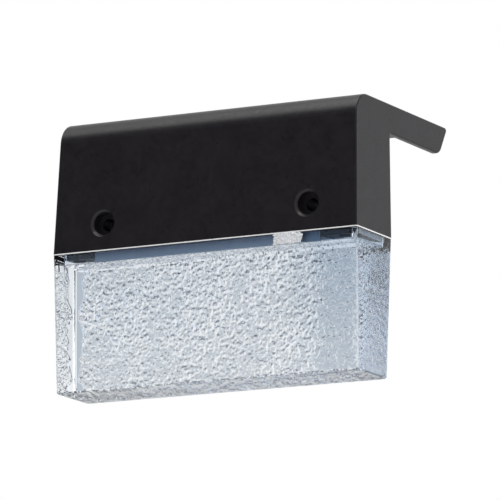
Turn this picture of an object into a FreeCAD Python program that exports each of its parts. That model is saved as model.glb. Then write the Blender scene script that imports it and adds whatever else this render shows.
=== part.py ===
import FreeCAD, Part
import math
import os

# A solar light that hangs over the top rail of a fence. A black moulded housing, an upside-down L
# when seen from the end, holds the battery and the electronics in its leg and the sun panel in its
# top. A clear solid lens hangs under the leg and is lit from above, through its pocket's floor.
#
# Millimetres. X runs along the fence, Y from the front of the light to the fence behind it, Z up.
# The origin is midway between the two mounting holes, on the plane of the leg's back.

Vector = FreeCAD.Vector
TINY = 1e-6
PAST = 5.0                       # how far a cutting block reaches beyond what it cuts

# ---- The whole light ----
light_width = 115.0              # at the seam between housing and lens
leg_depth = 23.8                 # at the seam, from the front to the back plane
housing_height = 45.2
lens_height = 46.8
hole_above_seam = 9.1
side_draft = 1.4                 # each end leans in this much over the housing's height
front_lean = 1.0                 # and the front leans back this much
shoulder_radius = 7.7
end_round = 0.6                  # the small round along the rim of each end

# ---- The lip over the rail ----
lip_reach = 41.0                 # from the leg's back plane, over a 38 mm rail
cheek_depth = 10.0
cheek_slant = 5.9                # the cheek's foot ends this much short of its top
cheek_top_radius = 1.0
cheek_foot_radius = 4.4
cheek_corner_radius = 0.8        # where the cheek's foot meets the leg's back
rib_thickness = 1.4
rib_from_end = 38.5

# ---- Walls and clearances ----
wall = 1.8
top_wall = 1.4
fit_gap = 0.2                    # between parts that are pushed or laid together
running_gap = 0.3                # round the moving button
bond_gap = 0.15                  # round the lens's tongue, filled by adhesive
boss_gap = 0.3                   # between a boss and what stands beside it

# ---- Mounting screws ----
hole_from_end = 18.9             # each hole to the light's end, at the seam
hole_radius = 2.2
tube_radius = 4.2
recess_radius = 3.85             # room for the screw's head
recess_depth = 4.0
recess_rim_radius = 4.65
recess_bevel = 0.8
collar_radius = 5.6              # the tube's thicker start, round the recess

# ---- Sun panel ----
panel_from_end = 8.1             # the top's end to the panel's end
panel_width = 45.0
panel_from_front = 10.6          # the front face to the panel's front edge
tape_thickness = 0.2
tape_width = 3.0
panel_board_thickness = 0.6
cell_thickness = 0.2
panel_cover_thickness = 0.8
cell_count = 4
cell_gap = 0.8
panel_margin = 2.4               # from the panel's edge to its cells
panel_corner_radius = 1.5
tray_floor = 1.2
tray_wall = 1.2

# ---- Rear cover ----
cover_thickness = 1.8
cover_relief = 0.6               # the cover's top strip, behind the lip, lies this much deeper
gasket_thickness = 0.8
gasket_width = 1.8
ledge_thickness = 1.4
cover_boss_radius = 3.4
cover_boss_depth = 3.6           # from the back plane
housing_boss_radius = 2.8
battery_rib_height = 8.0
battery_rib_spacing = 25.0

# ---- Small self-tapping screws ----
screw_radius = 1.1
screw_head_radius = 2.0
screw_head_height = 1.5
screw_head_round = 0.5
screw_length = 8.0
screw_clear_radius = 1.3
screw_recess_radius = 2.4
pilot_radius = 1.15
pilot_spare = 1.2                # how much deeper the pilot hole is than the screw
cross_slot_length = 2.6
cross_slot_width = 0.6
cross_slot_depth = 0.7

# ---- Lens ----
lens_wall = 3.0                  # round the pocket in its top
lens_pocket_gap = 0.1            # under the reflector, whose front wall hides the LEDs
lens_front_setback = 2.9         # the front leans back this much from the seam to the foot
lens_back_setback = 0.6
lens_end_draft = 0.6
lens_corner_radius = 0.8
lens_inner_corner_radius = 1.6
lens_foot_bevel = 0.5
seam_gasket_thickness = 0.4
seam_gasket_width = 1.6
gate_width = 11.0                # the trimmed moulding gate at the front top edge
gate_height = 3.6
gate_stand = 0.5
gate_from_end = 25.8             # the gate's middle to the light's right end

# ---- Lens frame, reflector and LED strip ----
frame_thickness = 1.6
frame_corner_radius = 1.0
frame_gap = 0.25
frame_block_length = 11.4
frame_block_drop = 2.0           # below the seam
frame_rail_depth = 1.2
frame_notch_width = 0.9
frame_notch_depth = 1.0
frame_notch_from_end = 4.4
frame_boss_radius = 2.6
frame_boss_height = 8.0
frame_screw_inset = 3.75         # from the frame's end and front to its end screws
middle_screw_inset = 3.35
reflector_wall = 0.9
reflector_floor = 0.8
reflector_drop = 3.6             # below the seam
reflector_throat_margin = 1.6    # from the LED strip to the foot of the sloping walls
led_board_width = 6.0
led_board_thickness = 1.2
led_board_corner_radius = 1.0
led_count = 6
led_length = 3.5
led_width = 2.8
led_height = 0.7
led_bevel = 0.2
led_boss_radius = 2.0
led_boss_height = 3.0
led_screw_length = 4.6

# ---- Battery: one AA cell ----
cell_radius = 7.25
cell_length = 50.5
cell_nipple_radius = 2.7
cell_nipple_length = 1.2
cell_end_round = 0.6
spring_room = 4.6
spring_width = 4.5
spring_bend = 0.6
spring_tip_back = 1.5            # the leaf's free tip, from the cell's end
contact_thickness = 0.4
contact_width = 9.0
tag_step = 1.8                   # a tag's width, and how much further the next one reaches
cradle_wall = 1.5
cradle_gap = 0.2                 # round the cell
cradle_above_tubes = 0.8
cradle_open_out = 2.3            # from the cell's axis to the cradle's open edge
cradle_shift = 0.75              # the spare length's share that is left of the cradle
cradle_ear_radius = 2.8
cradle_ear_thickness = 1.6
cradle_ear_in = 1.0              # from the cell's axis to the ear's front face
cradle_ear_out = 3.5             # from the cradle's side to the ear's screw
cradle_ear_xs = (-24.0, 8.0)

# ---- Control board ----
board_length = 28.0
board_height = 21.0
board_thickness = 1.2
board_corner_radius = 1.0
board_below_tray = 2.6
board_from_boss = 1.8
board_step = 0.5                 # from the cradle's open edge to the board's face
pad_inset = 1.2
board_screw_inset = 3.0
board_post_radius = 2.4
choke_radius = 3.2
choke_height = 4.2
choke_rim = 0.8
choke_waist_radius = 2.7
choke_x_off = 8.5
choke_z_off = -5.5
capacitor_radius = 2.5
capacitor_height = 5.4
capacitor_round = 0.5
capacitor_x_off = 8.0
capacitor_z_off = 1.5
chip_length = 5.0
chip_height = 4.0
chip_thickness = 1.5
chip_x_off = -6.8
chip_z_off = -1.5
chip_lift = 0.2                  # the package's underside above the board
chip_leg_count = 4
chip_leg_width = 0.5
chip_leg_thickness = 0.4
chip_leg_reach = 0.8

# ---- Push switch ----
switch_size = 7.0
switch_corner_radius = 0.6
switch_floor = 0.8               # between the control board and the plunger's bore
switch_plunger_radius = 1.6
button_radius = 4.2
button_flange_radius = 5.6
button_flange_thickness = 1.0
button_sink = 0.4                # the button's face below the back plane
button_travel = 1.5
button_socket_depth = 1.2
button_dish = 0.3
button_hole_bevel = 0.5

# ---- Wires ----
wire_radius = 0.6
wire_bend = 1.4
wire_pitch = 4.0
wire_hole_radius = 1.2

# ---- Levels and planes that follow from the sizes above ----
seam_z = -hole_above_seam
top_z = seam_z + housing_height
lens_top_z = seam_z - seam_gasket_thickness
lens_foot_z = seam_z - lens_height
cheek_foot_z = top_z - cheek_depth
panel_depth = tape_thickness + panel_board_thickness + cell_thickness + panel_cover_thickness
pocket_z = top_z - panel_depth
tray_foot_z = pocket_z - tray_floor
panel_y0 = -leg_depth + panel_from_front
panel_y1 = panel_y0 + panel_width
hole_spacing = light_width - hole_from_end * 2

cover_inner_y = -cover_thickness
gasket_y = cover_inner_y - gasket_thickness
ledge_y = gasket_y - ledge_thickness
cover_foot_z = seam_z + fit_gap
cover_top_z = tray_foot_z - fit_gap

frame_top_z = -(collar_radius + frame_gap * 2)
frame_foot_z = frame_top_z - frame_thickness
frame_rail_top_z = -(tube_radius + boss_gap)
gasket_foot_z = frame_rail_top_z - gasket_width
tongue_top_z = gasket_foot_z - fit_gap

reflector_floor_z = frame_foot_z - reflector_floor
led_board_z = reflector_floor_z - led_board_thickness
reflector_foot_z = seam_z - reflector_drop
lens_pocket_z = reflector_foot_z - lens_pocket_gap


def half_width(z):
    """Half the housing's width at a height, with its draft."""
    return light_width / 2 - side_draft * (z - seam_z) / housing_height


def front_y(z):
    """The front face's place at a height, with its lean."""
    return -leg_depth + front_lean * (z - seam_z) / housing_height


cover_screw_x = half_width(top_z) - wall - fit_gap - gasket_width - cover_boss_radius - boss_gap
cover_screw_zs = (
    frame_rail_top_z + cover_boss_radius + boss_gap,
    cover_top_z - gasket_width - cover_boss_radius - boss_gap,
)
panel_length = (half_width(top_z) - panel_from_end) * 2
tongue_half_width = half_width(tongue_top_z) - wall - bond_gap
tongue_y0 = front_y(tongue_top_z) + wall + bond_gap
tongue_y1 = cover_inner_y - bond_gap
lens_inner_half = light_width / 2 - lens_wall
lens_inner_y0 = -leg_depth + lens_wall
lens_inner_y1 = -lens_wall
frame_half = lens_inner_half - frame_gap
frame_y0 = lens_inner_y0 + frame_gap
frame_y1 = lens_inner_y1 - frame_gap
frame_screw_places = (
    (-frame_half + frame_screw_inset, frame_y0 + frame_screw_inset),
    (0.0, frame_y0 + middle_screw_inset),
    (frame_half - frame_screw_inset, frame_y0 + frame_screw_inset),
)
reflector_half = frame_half - frame_block_length - frame_gap
reflector_y1 = frame_y1 - frame_gap
throat_y_half = led_board_width / 2 + reflector_throat_margin
led_y = reflector_y1 - reflector_wall - throat_y_half
led_board_length = (reflector_half - reflector_wall - reflector_throat_margin) * 2
led_pitch = led_board_length / led_count
led_screw_xs = (-led_pitch, led_pitch)

cradle_half = cell_radius + cradle_gap + cradle_wall
cradle_length = cell_length + spring_room + contact_thickness + cradle_wall * 2
battery_z = collar_radius + cradle_above_tubes + cradle_half
battery_y = front_y(battery_z + cradle_half) + wall + boss_gap + cradle_half
cradle_open_y = battery_y + cradle_open_out
cradle_ear_y = battery_y - cradle_ear_in
board_y = cradle_open_y - board_step
board_under_y = board_y - board_thickness
board_z = tray_foot_z - board_below_tray - board_height / 2
board_end_x = cover_screw_x - housing_boss_radius - board_from_boss
board_x = board_end_x - board_length / 2
inner_half = half_width(tray_foot_z) - wall
spare_length = board_end_x - board_length + inner_half - cradle_length
cradle_x0 = -inner_half + spare_length * cradle_shift
cradle_x1 = cradle_x0 + cradle_length
battery_end_x = cradle_x1 - cradle_wall - contact_thickness
battery_start_x = battery_end_x - cell_length


# ---- Shapes used by several pieces ----

def outline(corners, to_space):
    """A closed wire through (u, v, radius) corners, with a tangent arc at each radius."""
    turns = []
    for i, (u, v, radius) in enumerate(corners):
        here = Vector(u, v, 0)
        before = Vector(corners[i - 1][0], corners[i - 1][1], 0) - here
        after_corner = corners[(i + 1) % len(corners)]
        after = Vector(after_corner[0], after_corner[1], 0) - here
        before.normalize()
        after.normalize()
        if not radius:
            turns.append((here, None, here))
            continue
        half_angle = before.getAngle(after) / 2
        reach = radius / math.tan(half_angle)
        inward = before + after
        inward.normalize()
        tip = here + inward * (radius / math.sin(half_angle) - radius)
        turns.append((here + before * reach, tip, here + after * reach))
    edges = []
    for i, (start, tip, end) in enumerate(turns):
        if tip:
            edges.append(Part.Arc(to_space(start), to_space(tip), to_space(end)).toShape())
        following = turns[(i + 1) % len(turns)][0]
        if end.distanceToPoint(following) > TINY:
            edges.append(Part.makeLine(to_space(end), to_space(following)))
    return Part.Wire(edges)


def side_prism(corners, x0, x1):
    """An outline of (y, z, radius) corners, drawn out along X."""
    wire = outline(corners, lambda p: Vector(x0, p.x, p.y))
    return Part.Face(wire).extrude(Vector(x1 - x0, 0, 0))


def front_prism(corners, y0, y1):
    """An outline of (x, z, radius) corners, drawn out along Y."""
    wire = outline(corners, lambda p: Vector(p.x, y0, p.y))
    return Part.Face(wire).extrude(Vector(0, y1 - y0, 0))


def plan_wire(x0, x1, y0, y1, radius, z):
    """A level rectangle with rounded corners."""
    corners = [(x0, y0, radius), (x1, y0, radius), (x1, y1, radius), (x0, y1, radius)]
    return outline(corners, lambda p: Vector(p.x, p.y, z))


def plan_block(x0, x1, y0, y1, z0, z1, radius=0.0):
    """A block with rounded upright corners."""
    face = Part.Face(plan_wire(x0, x1, y0, y1, radius, z0))
    return face.extrude(Vector(0, 0, z1 - z0))


def box(x0, x1, y0, y1, z0, z1):
    return Part.makeBox(x1 - x0, y1 - y0, z1 - z0, Vector(x0, y0, z0))


def rod_back(x, z, radius, y0, y1):
    """A round bar along Y, from y0 back to y1."""
    return Part.makeCylinder(radius, y1 - y0, Vector(x, y0, z), Vector(0, 1, 0))


def rod_up(x, y, radius, z0, z1):
    return Part.makeCylinder(radius, z1 - z0, Vector(x, y, z0), Vector(0, 0, 1))


def window(inset, z0, z1):
    """A four-sided outline that follows the housing's ends, inset from them."""
    low, high = half_width(z0) - inset, half_width(z1) - inset
    return [(-low, z0, 0), (low, z0, 0), (high, z1, 0), (-high, z1, 0)]


def joined(shapes):
    """One solid from several that touch or overlap."""
    return shapes[0].fuse(shapes[1:]).removeSplitter()


def screw(head_seat, direction, length):
    """A pan-head screw: its head's seat, the way it is driven, and its length."""
    shank = Part.makeCylinder(screw_radius, length, head_seat, direction)
    head = Part.makeCylinder(screw_head_radius, screw_head_height, head_seat, direction * -1)
    crown = head_seat - direction * screw_head_height
    rim = [e for e in head.Edges if e.CenterOfMass.distanceToPoint(crown) < TINY]
    head = head.makeFillet(screw_head_round, rim)
    body = shank.fuse(head)
    for turn in (0, 90):
        slot = Part.makeBox(cross_slot_length, cross_slot_width, cross_slot_depth * 2)
        slot.translate(Vector(-cross_slot_length / 2, -cross_slot_width / 2, -cross_slot_depth))
        slot.rotate(Vector(0, 0, 0), Vector(0, 0, 1), turn)
        slot.Placement = FreeCAD.Placement(
            crown, FreeCAD.Rotation(Vector(0, 0, 1), direction)
        ).multiply(slot.Placement)
        body = body.cut(slot)
    return body


# ---- Housing ----

def housing_outside():
    """The moulding's outer form: the L-shaped side outline between the drafted ends."""
    side = [
        (front_y(seam_z), seam_z, 0),
        (front_y(top_z), top_z, shoulder_radius),
        (lip_reach, top_z, cheek_top_radius),
        (lip_reach - cheek_slant, cheek_foot_z, cheek_foot_radius),
        (0, cheek_foot_z, cheek_corner_radius),
        (0, seam_z, 0),
    ]
    block = side_prism(side, -light_width / 2, light_width / 2)
    ends = front_prism(window(0, seam_z, top_z), -leg_depth - PAST, lip_reach + PAST)
    block = block.common(ends)
    return block.makeFillet(end_round, [e for e in block.Edges if on_one_end(e)])


def on_one_end(edge):
    """Is this edge part of an end's rim, above the seam?"""
    points = [v.Point for v in edge.Vertexes]
    side = math.copysign(1, points[0].x)
    on_end = all(abs(p.x * side - half_width(p.z)) < TINY for p in points)
    return on_end and any(p.z > seam_z + TINY for p in points)


def housing_hollow():
    """Everything between the cheeks, behind the front wall and under the top."""
    low, inner_top = seam_z - PAST, top_z - top_wall
    side = [
        (front_y(low) + wall, low, 0),
        (front_y(top_z) + wall, inner_top, shoulder_radius - wall),
        (lip_reach + PAST, inner_top, 0),
        (lip_reach + PAST, low, 0),
    ]
    block = side_prism(side, -light_width / 2, light_width / 2)
    between = front_prism(window(wall, low, top_z), -leg_depth, lip_reach + PAST)
    return block.common(between)


def panel_pocket(margin, z0, z1):
    """The block that holds the sun panel, larger by a margin."""
    half = panel_length / 2 + margin
    corner = panel_corner_radius + margin
    return plan_block(-half, half, panel_y0 - margin, panel_y1 + margin, z0, z1, corner)


def top_thickenings():
    """The tray under the panel, and the bar that the rear cover's top edge meets."""
    tray = panel_pocket(fit_gap + tray_wall, tray_foot_z, top_z - top_wall / 2)
    bar = front_prism(window(wall / 2, tray_foot_z, top_z - top_wall / 2), ledge_y, wall)
    return [tray, bar]


def lip_ribs():
    """Two ribs under the lip, as deep as the cheeks, that bear on the rail."""
    side = [
        (fit_gap, top_z - top_wall / 2, 0),
        (lip_reach - wall, top_z - top_wall / 2, 0),
        (lip_reach - wall - cheek_slant, cheek_foot_z, cheek_foot_radius),
        (fit_gap, cheek_foot_z, 0),
    ]
    return [
        side_prism(side, x - rib_thickness / 2, x + rib_thickness / 2)
        for x in (rib_from_end - light_width / 2, light_width / 2 - rib_from_end)
    ]


def cover_ledge():
    """The rebate inside the leg that the cover's gasket is pressed against."""
    inset = wall + fit_gap + gasket_width
    ring = front_prism(window(wall / 2, frame_rail_top_z, tray_foot_z), ledge_y, gasket_y)
    hole = window(inset, frame_rail_top_z - PAST, cover_top_z - gasket_width)
    return ring.cut(front_prism(hole, ledge_y - PAST, gasket_y + PAST))


def screw_tubes():
    """The two tubes for the mounting screws, thicker round the head's recess."""
    tubes = []
    for x in (-hole_spacing / 2, hole_spacing / 2):
        collar_end = front_y(0) + recess_depth + wall
        tubes.append(rod_back(x, 0, collar_radius, front_y(0) + wall / 2, collar_end))
        tubes.append(rod_back(x, 0, tube_radius, front_y(0) + wall / 2, 0))
    return tubes


def screw_bores():
    """What the mounting screws need cut: bore, head recess and bevelled rim."""
    cuts = []
    for x in (-hole_spacing / 2, hole_spacing / 2):
        face = front_y(0)
        cuts.append(rod_back(x, 0, hole_radius, face - PAST, PAST))
        cuts.append(rod_back(x, 0, recess_radius, face - PAST, face + recess_depth))
        flare = recess_rim_radius - recess_radius
        slope = flare / recess_bevel
        cuts.append(
            Part.makeCone(
                recess_rim_radius + slope * wall,
                recess_radius,
                recess_bevel + wall,
                Vector(x, face - wall, 0),
                Vector(0, 1, 0),
            )
        )
    return cuts


def post(x, z, radius, y1):
    """A round post from inside the front wall back to y1."""
    return rod_back(x, z, radius, front_y(z) + wall / 2, y1)


def cover_posts():
    return [
        post(sign * cover_screw_x, z, housing_boss_radius, -cover_boss_depth)
        for sign in (-1, 1)
        for z in cover_screw_zs
    ]


def cradle_screw_places():
    """Both ears are under the cell, between the mounting tubes."""
    return [(x, battery_z - cradle_half - cradle_ear_out) for x in cradle_ear_xs]


def board_screw_places():
    x_half = board_length / 2 - board_screw_inset
    z_half = board_height / 2 - board_screw_inset
    return [(board_x + x_half, board_z + z_half), (board_x - x_half, board_z - z_half)]


def frame_bosses():
    """Upright bosses for the lens frame's screws, each with a web to the front wall."""
    parts = []
    for x, y in frame_screw_places:
        z1 = frame_top_z + frame_boss_height
        parts.append(rod_up(x, y, frame_boss_radius, frame_top_z, z1))
        web_y0 = front_y(z1) + wall / 2
        parts.append(
            box(x - wall / 2, x + wall / 2, web_y0, y, frame_top_z, z1)
        )
    return parts


def pilot_holes():
    """The blind holes that the small screws cut their threads in."""
    deep = screw_length + pilot_spare
    holes = []
    for sign in (-1, 1):
        for z in cover_screw_zs:
            seat = -cover_boss_depth + cover_thickness
            holes.append(rod_back(sign * cover_screw_x, z, pilot_radius, seat - deep, PAST))
    for x, z in cradle_screw_places():
        seat = cradle_ear_y + cradle_ear_thickness
        holes.append(rod_back(x, z, pilot_radius, seat - deep, seat))
    for x, z in board_screw_places():
        holes.append(rod_back(x, z, pilot_radius, board_y - deep, board_y))
    for x, y in frame_screw_places:
        holes.append(rod_up(x, y, pilot_radius, frame_foot_z, frame_foot_z + deep))
    return holes


def panel_lead_places():
    """Where the two panel leads come down through the tray, beside the board."""
    y = board_y + wire_lead_out()
    return [(board_x - wire_pitch / 2, y), (board_x + wire_pitch / 2, y)]


def wire_lead_out():
    """How far a wire stands off the control board's face before it bends in."""
    return wire_bend + wire_radius + fit_gap


def housing():
    shell = housing_outside().cut(housing_hollow())
    cradle_posts = [
        post(x, z, frame_boss_radius, cradle_ear_y) for x, z in cradle_screw_places()
    ]
    board_posts = [
        post(x, z, board_post_radius, board_under_y) for x, z in board_screw_places()
    ]
    shell = joined(
        [shell]
        + top_thickenings()
        + lip_ribs()
        + [cover_ledge()]
        + screw_tubes()
        + cover_posts()
        + cradle_posts
        + board_posts
        + frame_bosses()
    )
    lead_holes = [
        rod_up(x, y, wire_hole_radius, tray_foot_z - PAST, pocket_z + PAST)
        for x, y in panel_lead_places()
    ]
    pocket = panel_pocket(fit_gap, pocket_z, top_z + PAST)
    return shell.cut([pocket] + lead_holes + screw_bores() + pilot_holes())


# ---- Sun panel, a stack in the top's pocket ----

def panel_sheet(z0, z1, inset=0.0):
    half = panel_length / 2 - inset
    y0, y1 = panel_y0 + inset, panel_y1 - inset
    return plan_block(-half, half, y0, y1, z0, z1, max(panel_corner_radius - inset, 0))


def panel_tape():
    sheet = panel_sheet(pocket_z, pocket_z + tape_thickness)
    return sheet.cut(panel_sheet(pocket_z - PAST, pocket_z + PAST, tape_width))


def panel_board():
    z0 = pocket_z + tape_thickness
    return panel_sheet(z0, z0 + panel_board_thickness)


def solar_cells():
    z0 = pocket_z + tape_thickness + panel_board_thickness
    room = panel_length - 2 * panel_margin
    length = (room - (cell_count - 1) * cell_gap) / cell_count
    cells = []
    for i in range(cell_count):
        x0 = -room / 2 + i * (length + cell_gap)
        y0, y1 = panel_y0 + panel_margin, panel_y1 - panel_margin
        cells.append(box(x0, x0 + length, y0, y1, z0, z0 + cell_thickness))
    return cells


def panel_cover():
    """The clear sheet: it lies on the cells and closes down to the board round them."""
    z0 = pocket_z + tape_thickness + panel_board_thickness
    sheet = panel_sheet(z0, top_z)
    room = panel_sheet(z0 - PAST, z0 + cell_thickness, panel_margin - cell_gap / 2)
    return sheet.cut(room)


# ---- Rear cover ----

def rear_cover():
    plate = front_prism(window(wall + fit_gap, cover_foot_z, cover_top_z), cover_inner_y, 0)
    relief = box(
        -light_width, light_width, -cover_relief, PAST, cheek_foot_z - fit_gap, top_z
    )
    plate = plate.cut(relief)
    parts = [plate]
    cuts = []
    for sign in (-1, 1):
        for z in cover_screw_zs:
            x = sign * cover_screw_x
            parts.append(
                rod_back(x, z, cover_boss_radius, -cover_boss_depth, cover_inner_y / 2)
            )
            cuts.append(rod_back(x, z, screw_clear_radius, -cover_boss_depth - PAST, PAST))
            seat = -cover_boss_depth + cover_thickness
            cuts.append(rod_back(x, z, screw_recess_radius, seat, PAST))
        tube_x = sign * hole_spacing / 2
        cuts.append(rod_back(tube_x, 0, tube_radius + fit_gap, -leg_depth, PAST))
    for x in battery_rib_xs():
        rib_y0 = battery_y + cell_radius + fit_gap
        half = battery_rib_height / 2
        parts.append(
            box(
                x - rib_thickness / 2,
                x + rib_thickness / 2,
                rib_y0,
                cover_inner_y / 2,
                battery_z - half,
                battery_z + half,
            )
        )
    hole_radius_at_button = button_radius + running_gap
    cuts.append(rod_back(board_x, board_z, hole_radius_at_button, -leg_depth, PAST))
    cuts.append(
        Part.makeCone(
            hole_radius_at_button,
            hole_radius_at_button + button_hole_bevel,
            button_hole_bevel,
            Vector(board_x, -button_hole_bevel, board_z),
            Vector(0, 1, 0),
        )
    )
    return joined(parts).cut(cuts)


def battery_rib_xs():
    """Two places along the cell where the cover's ribs hold it in its cradle."""
    middle = battery_end_x - cell_length / 2
    return [middle - battery_rib_spacing / 2, middle + battery_rib_spacing / 2]


def rear_cover_screws():
    seat = -cover_boss_depth + cover_thickness
    return [
        screw(Vector(sign * cover_screw_x, seat, z), Vector(0, -1, 0), screw_length)
        for sign in (-1, 1)
        for z in cover_screw_zs
    ]


def cover_gasket():
    inset = wall + fit_gap
    ring = front_prism(window(inset, gasket_foot_z, cover_top_z), gasket_y, cover_inner_y)
    inner = window(inset + gasket_width, frame_rail_top_z, cover_top_z - gasket_width)
    return ring.cut(front_prism(inner, gasket_y - PAST, PAST))


# ---- Lens ----

def lens_section(inset, z, radius):
    """The lens's level outline at a height, inset by a wall or a bevel."""
    share = (lens_top_z - z) / (lens_top_z - lens_foot_z)
    half = light_width / 2 - lens_end_draft * share - inset
    y0 = -leg_depth + lens_front_setback * share + inset
    y1 = -lens_back_setback * share - inset
    return plan_wire(-half, half, y0, y1, radius, z)


def lens():
    bevel_z = lens_foot_z + lens_foot_bevel
    outside = Part.makeLoft(
        [
            lens_section(lens_foot_bevel, lens_foot_z, lens_corner_radius),
            lens_section(0, bevel_z, lens_corner_radius),
            lens_section(0, lens_top_z, lens_corner_radius),
        ],
        True,
        True,
    )
    pocket = Part.makeLoft(
        [
            lens_section(lens_wall, lens_pocket_z, lens_inner_corner_radius),
            lens_section(lens_wall, lens_top_z, lens_inner_corner_radius),
            plan_wire(
                -lens_inner_half,
                lens_inner_half,
                lens_inner_y0,
                lens_inner_y1,
                lens_inner_corner_radius,
                tongue_top_z + PAST,
            ),
        ],
        True,
        True,
    )
    tongue = plan_block(
        -tongue_half_width,
        tongue_half_width,
        tongue_y0,
        tongue_y1,
        lens_top_z - bond_gap,
        tongue_top_z,
        lens_corner_radius,
    )
    return joined([outside, tongue, gate_stub()]).cut(pocket)


def gate_stub():
    """What is left of the wide moulding gate after trimming."""
    gate_x = light_width / 2 - gate_from_end
    half = gate_width / 2
    side = [
        (-leg_depth - gate_stand, lens_top_z - gate_stand, 0),
        (-leg_depth + gate_stand, lens_top_z - gate_stand, 0),
        (-leg_depth + gate_stand, lens_top_z - gate_height, 0),
        (-leg_depth - gate_stand / 2, lens_top_z - gate_height, 0),
    ]
    return side_prism(side, gate_x - half, gate_x + half)


def lens_gasket():
    """The thin seal that shows as a pale line along the seam."""
    radius = lens_corner_radius
    half = light_width / 2
    ring = plan_block(-half, half, -leg_depth, 0, lens_top_z, seam_z, radius)
    inset = seam_gasket_width
    inner = plan_block(
        -half + inset,
        half - inset,
        -leg_depth + inset,
        tongue_y1 + bond_gap,
        lens_top_z - PAST,
        seam_z + PAST,
    )
    return ring.cut(inner)


# ---- Lens frame, reflector and LED strip ----

def lens_frame():
    plate = plan_block(
        -frame_half,
        frame_half,
        frame_y0,
        frame_y1,
        frame_foot_z,
        frame_top_z,
        frame_corner_radius,
    )
    block_foot_z = seam_z - frame_block_drop
    blocks = [
        plan_block(
            x0,
            x0 + frame_block_length,
            frame_y0,
            frame_y1,
            block_foot_z,
            frame_top_z,
            frame_corner_radius,
        )
        for x0 in (-frame_half, frame_half - frame_block_length)
    ]
    rail_half = frame_half - frame_corner_radius
    rail_low = box(
        -rail_half,
        rail_half,
        frame_y1 - frame_rail_depth,
        frame_y1,
        frame_foot_z,
        frame_rail_top_z,
    )
    rail_high = box(
        -rail_half,
        rail_half,
        frame_y1 - frame_rail_depth,
        gasket_y,
        tongue_top_z + fit_gap,
        frame_rail_top_z,
    )
    led_bosses = [
        rod_up(x, led_y, led_boss_radius, frame_foot_z, frame_top_z + led_boss_height)
        for x in led_screw_xs
    ]
    cuts = []
    for x, y in frame_screw_places:
        cuts.append(rod_up(x, y, screw_clear_radius, block_foot_z - PAST, frame_top_z + PAST))
        cuts.append(rod_up(x, y, screw_recess_radius, block_foot_z - PAST, frame_foot_z))
    for x in led_screw_xs:
        deep = led_screw_length + pilot_spare / 2
        cuts.append(rod_up(x, led_y, pilot_radius, led_board_z, led_board_z + deep))
    for x, y in led_lead_places():
        cuts.append(rod_up(x, y, wire_hole_radius, frame_foot_z - PAST, frame_top_z + PAST))
    notch_x = -frame_half + frame_notch_from_end
    cuts.append(
        box(
            notch_x,
            notch_x + frame_notch_width,
            frame_y0 - PAST,
            frame_y0 + frame_notch_depth,
            block_foot_z - PAST,
            frame_foot_z,
        )
    )
    return joined([plate] + blocks + [rail_low, rail_high] + led_bosses).cut(cuts)


def lens_frame_screws():
    return [
        screw(Vector(x, y, frame_foot_z), Vector(0, 0, 1), screw_length)
        for x, y in frame_screw_places
    ]


def led_reflector():
    """A shallow trough under the frame: level floor, inside sloping to the front and ends."""
    y0 = lens_front_inside(reflector_foot_z) + frame_gap
    outside = box(
        -reflector_half, reflector_half, y0, reflector_y1, reflector_foot_z, frame_foot_z
    )
    throat_x = led_board_length / 2 + fit_gap
    inner_y1 = reflector_y1 - reflector_wall
    throat = plan_wire(
        -throat_x, throat_x, led_y - throat_y_half, inner_y1, 0, reflector_floor_z
    )
    mouth_x = reflector_half - reflector_wall
    mouth = plan_wire(-mouth_x, mouth_x, y0 + reflector_wall, inner_y1, 0, reflector_foot_z)
    trough = outside.cut(Part.makeLoft([mouth, throat], True, True))
    cuts = [
        rod_up(x, led_y, screw_clear_radius, reflector_floor_z - PAST, frame_foot_z + PAST)
        for x in led_screw_xs
    ]
    cuts += [
        rod_up(x, y, wire_hole_radius, reflector_floor_z - PAST, frame_foot_z + PAST)
        for x, y in led_lead_places()
    ]
    middle_x, middle_y = frame_screw_places[1]
    cuts.append(
        rod_up(middle_x, middle_y, screw_recess_radius, reflector_foot_z - PAST, frame_foot_z)
    )
    return trough.cut(cuts)


def lens_front_inside(z):
    """The inner face of the lens's front wall at a height."""
    share = (lens_top_z - z) / (lens_top_z - lens_foot_z)
    return -leg_depth + lens_wall + lens_front_setback * share


def led_board():
    half = led_board_length / 2
    strip = plan_block(
        -half,
        half,
        led_y - led_board_width / 2,
        led_y + led_board_width / 2,
        led_board_z,
        reflector_floor_z,
        led_board_corner_radius,
    )
    return strip.cut(
        [
            rod_up(x, led_y, screw_clear_radius, led_board_z - PAST, reflector_floor_z + PAST)
            for x in led_screw_xs
        ]
    )


def leds():
    packages = []
    for i in range(led_count):
        x = (i - (led_count - 1) / 2) * led_pitch
        package = box(
            x - led_length / 2,
            x + led_length / 2,
            led_y - led_width / 2,
            led_y + led_width / 2,
            led_board_z - led_height,
            led_board_z,
        )
        foot = [e for e in package.Edges if e.BoundBox.ZMax < led_board_z - led_height / 2]
        packages.append(package.makeChamfer(led_bevel, foot))
    return packages


def led_board_screws():
    return [
        screw(Vector(x, led_y, led_board_z), Vector(0, 0, 1), led_screw_length)
        for x in led_screw_xs
    ]


# ---- Battery and its cradle ----

def battery():
    """Revolved about its own axis, then laid along X with the plus end to the right."""
    body_end = cell_length - cell_nipple_length
    can = rod_along(battery_start_x, battery_start_x + body_end, cell_radius)
    rims = [e for e in can.Edges if len(e.Vertexes) == 1]
    can = can.makeFillet(cell_end_round, rims)
    nipple_x = battery_start_x + body_end - cell_end_round
    nipple = rod_along(nipple_x, battery_end_x, cell_nipple_radius)
    return can.fuse(nipple).removeSplitter()


def rod_along(x0, x1, radius):
    """A round bar on the battery's axis."""
    start = Vector(x0, battery_y, battery_z)
    return Part.makeCylinder(radius, x1 - x0, start, Vector(1, 0, 0))


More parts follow.
